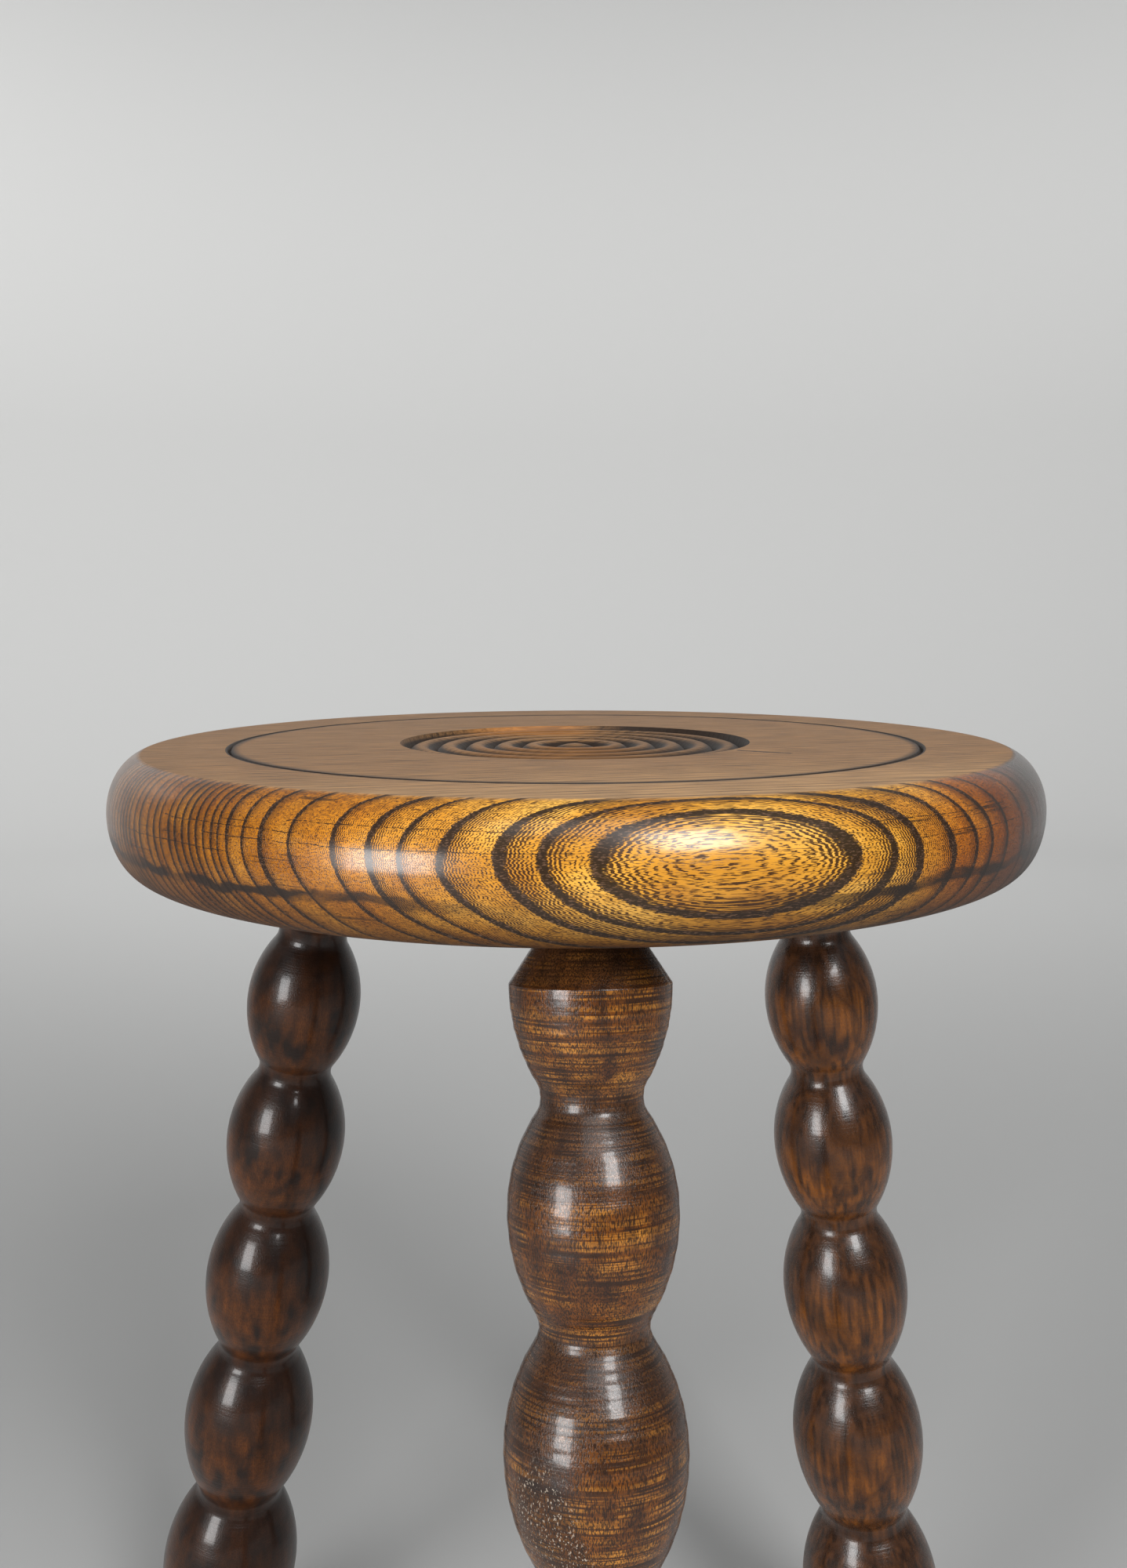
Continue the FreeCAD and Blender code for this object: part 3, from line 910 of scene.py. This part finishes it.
def leg_material(finish: StainedElm) -> bpy.types.Material:
    """Dark-stained, rubbed elm for the legs.

    Args:
        finish: Colours and sheen.

    Returns:
        The node material.
    """
    material, tree = new_material(finish.name)
    add = partial(add_node, tree)
    grain = add("Attribute", output=1, attribute_name="grain")
    ring, worn, scuff = (add("Attribute", output=2, attribute_name=name) for name in ("ring", "worn", "scuff"))
    down = add("SeparateXYZ", {0: grain}, 2)
    noise = grain_noise(tree, grain, {**LEG_PATTERNS, "pores": finish.pore_size})

    # Early wood of each ring drinks more stain and stays dark; below each swell the stain is rubbed through
    part = add("FRACT", (ring,))
    early = add("MapRange", (part, 0.0, 0.2, 0.0, 1.0))
    fading = add("MapRange", (part, 0.2, 0.55, finish.early, 0.0))
    early = add("MULTIPLY", (early, fading))
    streaks = add("MapRange", (noise["streaks"], 0.36, 0.64, finish.streaks, 0.0))
    early = add("MAXIMUM", (early, streaks))
    haze = add("MapRange", (noise["haze"], 0.35, 0.65, -0.25, 0.25))
    rub = add("MapRange", (noise["blotch"], 0.36, 0.6, 0.25, 1.0))
    for more in (haze, finish.bare):
        rub = add("ADD", (rub, more))
    rub = add("MULTIPLY", (rub, worn), use_clamp=True)
    # Shoulders take their greyish colour, partly painted reflection, and the stain follows below them
    wood = add("Mix", {0: worn, 6: finish.shoulder, 7: finish.stain}, **COLOUR)

    # Turning lines, dark in the grooves and bright on the ridges between them, stronger in some places
    group = add("MapRange", (noise["groups"], 0.36, 0.6, 0.12 * finish.lines, finish.lines))
    turned = add("MULTIPLY_ADD", (noise["broad"], 0.5, noise["lines"]))
    drift = add("MULTIPLY", (noise["broad"], 25.0))
    phase = add("MULTIPLY_ADD", (down, 2 * math.pi / finish.line_pitch, drift))
    even = add("SINE", (phase,))
    turned = add("MULTIPLY_ADD", (even, 0.1, turned))
    line = add("MapRange", (turned, 0.64, 0.72, 1.0, 0.0))
    line = add("MULTIPLY", (line, group))
    ridge = add("MapRange", (turned, 0.72, 0.9, 0.0, 0.85))
    for share in (group, rub):
        ridge = add("MULTIPLY", (ridge, share))
    pore = add("MapRange", (noise["pores"], 0.44, 0.54, finish.ticks, 0.0))
    dark = add("MAXIMUM", (line, pore))

    # A knock against other furniture: bruised dark, with pale flecks where the wax has flaked
    flaked = add("MapRange", (noise["flecks"], 0.6, 0.7, 0.0, 1.2))
    flaked = add("MULTIPLY", (flaked, scuff))
    for share, colour in ((rub, finish.rubbed), (early, finish.dark), (ridge, finish.amber), (dark, finish.dark),
                          (scuff, finish.dark), (flaked, finish.flake)):
        wood = add("Mix", {0: share, 6: wood, 7: colour}, **COLOUR)

    # Pores, lines and a fine roughness of the wax break up the highlights
    dents = add("MULTIPLY", (pore, -1.0))
    dents = add("MULTIPLY_ADD", (turned, 2.0, dents))
    dents = add("MULTIPLY_ADD", (noise["flecks"], 3.0, dents))
    bump = add("Bump", {"Strength": 0.8, "Distance": finish.pore_depth, "Height": dents})
    rough = add("MapRange", (dark, 0.0, 1.0, finish.roughness, finish.roughness + 0.06))
    shader = add("BsdfPrincipled", {"Base Color": wood, "Roughness": rough, "Normal": bump, "IOR": 1.5,
                                    "Specular IOR Level": finish.specular, "Coat Weight": 0.3,
                                    "Coat Roughness": 0.12})
    add("OutputMaterial", {0: shader})
    return material


@dataclass
class Studio:
    """Pale round cove, soft lamps, and a camera where the photograph was taken from."""

    seat: Seat
    paper: str = "#b3b3b2"
    sky: str = "#f4f6f8"
    sky_strength: float = 0.35
    camera_back: float = 428.07  # millimetres in front of the seat's axis
    camera_above: float = 41.07  # over the top of the seat
    yaw: float = 0.00892  # radians
    pitch_down: float = 0.12999
    roll: float = -0.00302
    lens: float = 29.18

    def cove(self) -> None:
        """Floor that curves up into a wall all round: a flat disc, a quarter circle and a cylinder."""
        floor, bend, wall = 2400.0, 1000.0, 1400.0
        turn = np.linspace(0, math.pi / 2, 24)
        section = np.concatenate([[(floor / 3, 0.0)], np.stack([floor + bend * np.sin(turn),
                                                                  bend * (1 - np.cos(turn))], -1),
                                  [(floor + bend, bend + wall)]])
        angle = np.linspace(0, 2 * math.pi, 128, endpoint=False)
        grid = np.stack([section[:, :1] * np.cos(angle), section[:, :1] * np.sin(angle),
                         np.broadcast_to(section[:, 1:], (len(section), 128))], -1) * MM
        index, quads = ring_quads(*grid.shape[:2])
        mesh = bpy.data.meshes.new("cove")
        mesh.from_pydata(grid.reshape(-1, 3).tolist(), [], [*quads.tolist(), index[0].tolist()])
        mesh.shade_smooth()
        material, tree = new_material("pale_matt_paper")
        shader = add_node(tree, "BsdfPrincipled", {"Base Color": self.paper, "Roughness": 0.9,
                                                   "Specular IOR Level": 0.2})
        add_node(tree, "OutputMaterial", {0: shader})
        mesh.materials.append(material)
        cove = bpy.data.objects.new("cove", mesh)
        bpy.context.scene.collection.objects.link(cove)

    def lamp(self, name: str, place: Vector3, size: tuple[float, float], watts: float,
             aim: Vector3 = (0.0, 0.0, 0.3)) -> None:
        """Adds a soft rectangular lamp.

        Args:
            name: Name of the lamp.
            place: Where it stands, in metres.
            size: Width and height in metres.
            watts: Its power.
            aim: Point that it faces.
        """
        light = bpy.data.lights.new(name, "AREA")
        light.shape, light.size, light.size_y, light.energy = "RECTANGLE", *size, watts
        lamp = bpy.data.objects.new(name, light)
        lamp.location = place
        lamp.rotation_euler = (Vector(aim) - Vector(place)).to_track_quat("-Z", "Y").to_euler()
        bpy.context.scene.collection.objects.link(lamp)

    def light(self) -> None:
        """Sets up an even sky, two windows that give the highlights, a panel above and a wash on the wall."""
        world = bpy.data.worlds.new("sky")
        world.use_nodes = True
        background = world.node_tree.nodes["Background"].inputs
        background[0].default_value, background[1].default_value = linear_colour(self.sky), self.sky_strength
        bpy.context.scene.world = world
        self.lamp("left_window", (-1.1, -1.33, 0.56), (0.62, 0.64), 21.5)
        self.lamp("right_window", (0.69, -1.25, 1.32), (0.5, 0.7), 22.0)
        self.lamp("ceiling_panel", (0.15, -1.0, 1.9), (1.3, 0.8), 6.0)
        self.lamp("wall_wash", (-0.5, 1.4, 1.9), (4.6, 0.4), 66.0, aim=(-0.5, 3.4, 0.8))

    def camera(self) -> None:
        """Places the camera: looking along +Y, turned by yaw, pitched down and rolled."""
        data = bpy.data.cameras.new("camera")
        data.lens, data.sensor_width = self.lens, 36.0
        camera = bpy.data.objects.new("camera", data)
        place = self.seat.axis + [0, -self.camera_back, self.seat.top + self.camera_above]
        camera.matrix_world = (Matrix.Translation(place * MM) @ Matrix.Rotation(self.yaw, 4, "Z")
                               @ Matrix.Rotation(math.pi / 2 - self.pitch_down, 4, "X")
                               @ Matrix.Rotation(self.roll, 4, "Z"))
        bpy.context.scene.collection.objects.link(camera)
        bpy.context.scene.camera = camera


def main() -> None:
    """Builds the studio, the seat and the three legs."""
    logging.basicConfig(level=logging.INFO, format="%(name)s: %(message)s")
    seat = Seat()
    studio = Studio(seat)
    studio.camera()
    studio.cove()
    studio.light()
    seat.build(seat_material(WaxedElm()))
    woven = StainedElm()
    swirly = StainedElm(name="stained_elm_swirly", shoulder="#3c281d", stain="#3a1d0b", rubbed="#844b11",
                        ticks=0.25, lines=0.04, early=0.6, streaks=0.8)
    # Left rear leg: darker colours all over, partly painted shade of the seat above it
    dark = StainedElm(name="stained_elm_dark_shaded", shoulder="#201512", stain="#22130b", rubbed="#65360f",
                      amber="#94602e", ticks=0.4, lines=0.06, streaks=0.35, bare=-0.15, roughness=0.3,
                      specular=0.22)
    # Rear legs: calmer gouge marks, and a wider dark band above each waist, partly painted shade in the creases
    calmer = {"gouge": 0.15, "dark_above_waist": 9.0}
    Leg(Stand.FRONT, seat, ring_turn=80.0, ring_width=6.0, ring_wave=0.5,
        scuffs=((13.0, 141.0, 6.5, 11.0), (6.0, 151.0, 4.0, 6.0))).build(leg_material(woven))
    Leg(Stand.RIGHT_REAR, seat, ring_turn=-30.0, ring_width=5.5, ring_wave=2.8,
        **calmer).build(leg_material(swirly))
    Leg(Stand.LEFT_REAR, seat, ring_turn=-75.0, **calmer).build(leg_material(dark))
    bpy.context.scene.view_settings.view_transform = "Standard"


if __name__ == "__main__":
    main()
